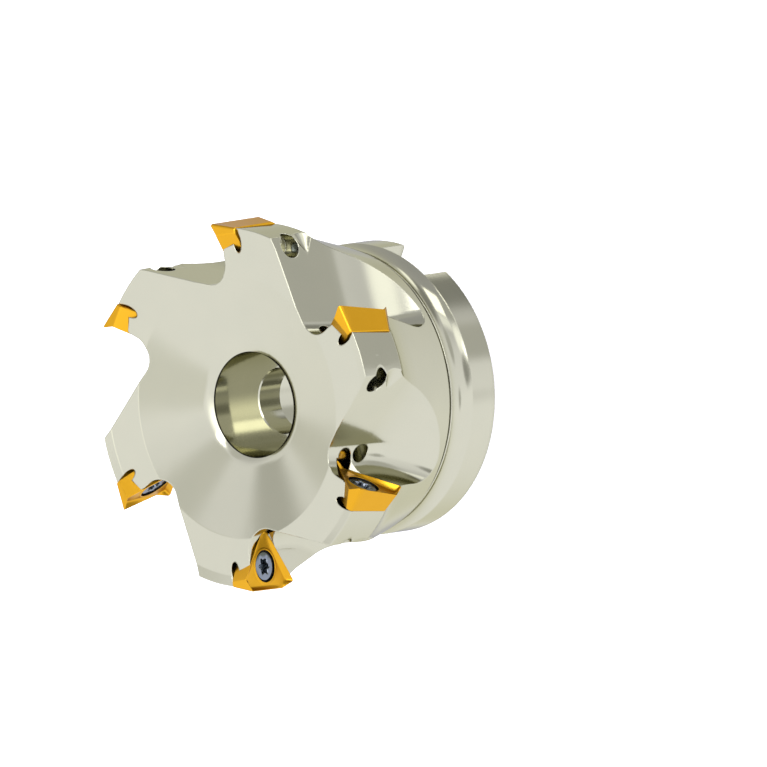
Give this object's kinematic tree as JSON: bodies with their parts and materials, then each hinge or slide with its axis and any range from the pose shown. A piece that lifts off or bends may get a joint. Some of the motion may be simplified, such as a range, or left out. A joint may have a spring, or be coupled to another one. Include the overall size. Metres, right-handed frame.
{
  "type": "indexable face mill",
  "caption": "Right-hand 90 degree indexable face mill: a bored steel body with screwed-on triangular inserts in its chip gullets.",
  "frame": {"origin": "centre of the arbor bore in the plane of the hub's rear face", "axes": "+Z along the spindle axis towards the cutting corners, X along the drive slot, +Y through the cutting corner of the first insert"},
  "size_m": [0.0612, 0.063, 0.04],
  "materials": {
    "plated_body": "satin nickel plating",
    "coated_insert": "gold titanium nitride coating",
    "screw_steel": "plain turned steel"
  },
  "bodies": {
    "cutter_body": {"cutter_body": "plated_body"},
    "insert_1": {"insert_1": "coated_insert"},
    "insert_screw_1": {"insert_screw_1": "screw_steel"},
    "insert_2": {"insert_2": "coated_insert"},
    "insert_screw_2": {"insert_screw_2": "screw_steel"},
    "insert_3": {"insert_3": "coated_insert"},
    "insert_screw_3": {"insert_screw_3": "screw_steel"},
    "insert_4": {"insert_4": "coated_insert"},
    "insert_screw_4": {"insert_screw_4": "screw_steel"},
    "insert_5": {"insert_5": "coated_insert"},
    "insert_screw_5": {"insert_screw_5": "screw_steel"},
    "insert_6": {"insert_6": "coated_insert"},
    "insert_screw_6": {"insert_screw_6": "screw_steel"}
  },
  "joints": [
    {"name": "insert_1_lift", "type": "slide", "parent": "cutter_body", "child": "insert_1", "axis": [-0.9951, 0.014, -0.0976], "range_m": [0, 0.0012]},
    {"name": "insert_screw_1_turn", "type": "hinge", "parent": "insert_1", "child": "insert_screw_1", "pos_m": [0.00052, 0.02753, 0.03417], "axis": [-0.9951, 0.014, -0.0976], "range_deg": [0, 720]},
    {"name": "insert_2_lift", "type": "slide", "parent": "cutter_body", "child": "insert_2", "axis": [-0.4855, 0.8688, -0.0976], "range_m": [0, 0.0012]},
    {"name": "insert_screw_2_turn", "type": "hinge", "parent": "insert_2", "child": "insert_screw_2", "pos_m": [0.0241, 0.01332, 0.03417], "axis": [-0.4855, 0.8688, -0.0976], "range_deg": [0, 720]},
    {"name": "insert_3_lift", "type": "slide", "parent": "cutter_body", "child": "insert_3", "axis": [0.5097, 0.8548, -0.0976], "range_m": [0, 0.0012]},
    {"name": "insert_screw_3_turn", "type": "hinge", "parent": "insert_3", "child": "insert_screw_3", "pos_m": [0.02358, -0.01421, 0.03417], "axis": [0.5097, 0.8548, -0.0976], "range_deg": [0, 720]},
    {"name": "insert_4_lift", "type": "slide", "parent": "cutter_body", "child": "insert_4", "axis": [0.9951, -0.014, -0.0976], "range_m": [0, 0.0012]},
    {"name": "insert_screw_4_turn", "type": "hinge", "parent": "insert_4", "child": "insert_screw_4", "pos_m": [-0.00052, -0.02753, 0.03417], "axis": [0.9951, -0.014, -0.0976], "range_deg": [0, 720]},
    {"name": "insert_5_lift", "type": "slide", "parent": "cutter_body", "child": "insert_5", "axis": [0.4855, -0.8688, -0.0976], "range_m": [0, 0.0012]},
    {"name": "insert_screw_5_turn", "type": "hinge", "parent": "insert_5", "child": "insert_screw_5", "pos_m": [-0.0241, -0.01332, 0.03417], "axis": [0.4855, -0.8688, -0.0976], "range_deg": [0, 720]},
    {"name": "insert_6_lift", "type": "slide", "parent": "cutter_body", "child": "insert_6", "axis": [-0.5097, -0.8548, -0.0976], "range_m": [0, 0.0012]},
    {"name": "insert_screw_6_turn", "type": "hinge", "parent": "insert_6", "child": "insert_screw_6", "pos_m": [-0.02358, 0.01421, 0.03417], "axis": [-0.5097, -0.8548, -0.0976], "range_deg": [0, 720]}
  ],
  "couplings": [
    {"joint": "insert_screw_1_turn", "follows": "insert_1_lift", "rad_per_m": 10472},
    {"joint": "insert_screw_2_turn", "follows": "insert_2_lift", "rad_per_m": 10472},
    {"joint": "insert_screw_3_turn", "follows": "insert_3_lift", "rad_per_m": 10472},
    {"joint": "insert_screw_4_turn", "follows": "insert_4_lift", "rad_per_m": 10472},
    {"joint": "insert_screw_5_turn", "follows": "insert_5_lift", "rad_per_m": 10472},
    {"joint": "insert_screw_6_turn", "follows": "insert_6_lift", "rad_per_m": 10472}
  ]
}
